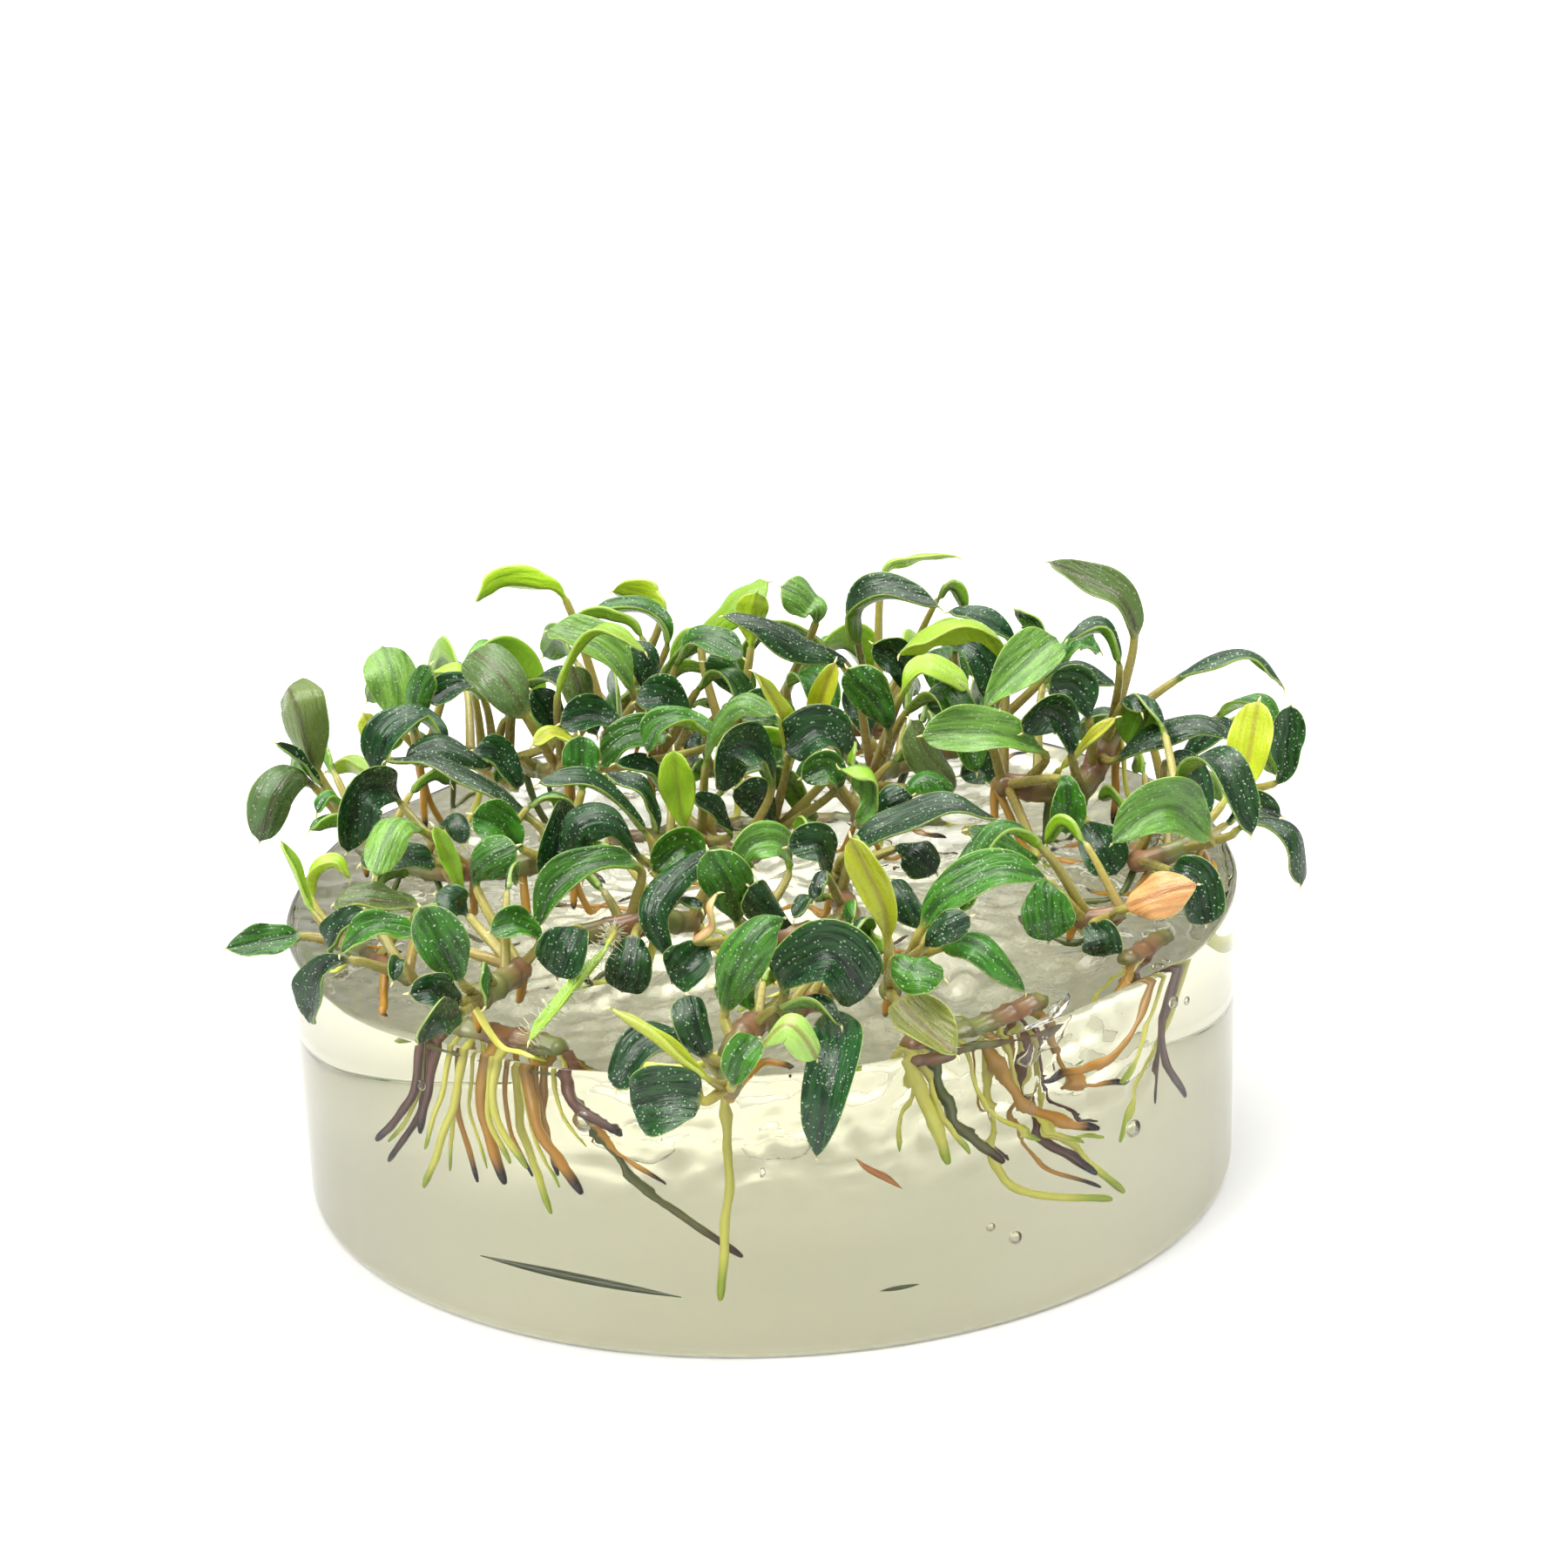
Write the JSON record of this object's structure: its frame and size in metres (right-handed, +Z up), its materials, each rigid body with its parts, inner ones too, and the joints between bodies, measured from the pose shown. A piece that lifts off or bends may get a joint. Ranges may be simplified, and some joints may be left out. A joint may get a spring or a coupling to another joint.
{
  "type": "bucephalandra",
  "caption": "Bucephalandra aquarium plants from tissue culture: a cushion of small stalked, speckled leaves on creeping rhizomes, rooted in a clear gel puck",
  "frame": {"origin": "the middle of the gel puck's flat underside", "axes": "+Z is up, the side seen in the picture faces -Y, and +X is to its right"},
  "size_m": [0.0949, 0.0915, 0.0515],
  "materials": {
    "gel": "clear agar gel, faintly olive, wet surface",
    "root": "living roots, cream to tan with green or dark tips",
    "rhizome": "olive and reddish rhizome with its smaller green leaves",
    "leaf_dark": "dark green leaf with tiny pale dots, satin",
    "leaf_pale": "pale green leaf, satin",
    "leaf_lime": "lime to yellow young leaf, satin",
    "leaf_dead": "dead leaf, orange and brown"
  },
  "bodies": {
    "root": {"gel": "gel", "leaf_arch_top": "leaf_dark", "leaf_big_dark_arch": "leaf_dark", "leaf_big_green": "leaf_dark", "leaf_blue_diagonal": "leaf_dark", "leaf_blue_strap": "leaf_dark", "leaf_bowed_lime": "leaf_lime", "leaf_bright_speckled": "leaf_dark", "leaf_curled_dark": "leaf_dark", "leaf_curved_green": "leaf_dark", "leaf_dark_big": "leaf_dark", "leaf_dark_hanging": "leaf_dark", "leaf_dark_sickle": "leaf_dark", "leaf_front_hanging": "leaf_dark", "leaf_front_yellow": "leaf_lime", "leaf_hooked_right": "leaf_dark", "leaf_level_strap": "leaf_dark", "leaf_lime_arch": "leaf_lime", "leaf_long_arch": "leaf_dark", "leaf_long_right": "leaf_dark", "leaf_long_strap": "leaf_dark", "leaf_orange_dead": "leaf_dead", "leaf_paddle_left": "leaf_dark", "leaf_paddle_top": "leaf_dark", "leaf_pale_big": "leaf_pale", "leaf_pale_bow": "leaf_lime", "leaf_pale_broad": "leaf_pale", "leaf_pale_pointed": "leaf_pale", "leaf_pale_spade": "leaf_pale", "leaf_pale_tongue": "leaf_pale", "leaf_reaching_strap": "leaf_dark", "leaf_rim_leaf": "leaf_dark", "leaf_round_west": "leaf_dark", "leaf_tall_leaf": "leaf_dark", "leaf_twisted_yellow": "leaf_lime", "leaf_yellow_big": "leaf_lime", "plantlet_back": "rhizome", "plantlet_back_far": "rhizome", "plantlet_centre": "rhizome", "plantlet_centre_right": "rhizome", "plantlet_front": "rhizome", "plantlet_left_front": "rhizome", "plantlet_mid_left": "rhizome", "plantlet_middle": "rhizome", "plantlet_right": "rhizome", "plantlet_right_front": "rhizome", "plantlet_right_rim": "rhizome", "plantlet_right_under": "rhizome", "plantlet_southwest": "rhizome", "plantlet_west": "rhizome", "plantlet_west_back": "rhizome", "roots_back": "root", "roots_front": "root", "roots_left": "root", "roots_right": "root", "roots_right_rim": "root"}
  },
  "joints": []
}
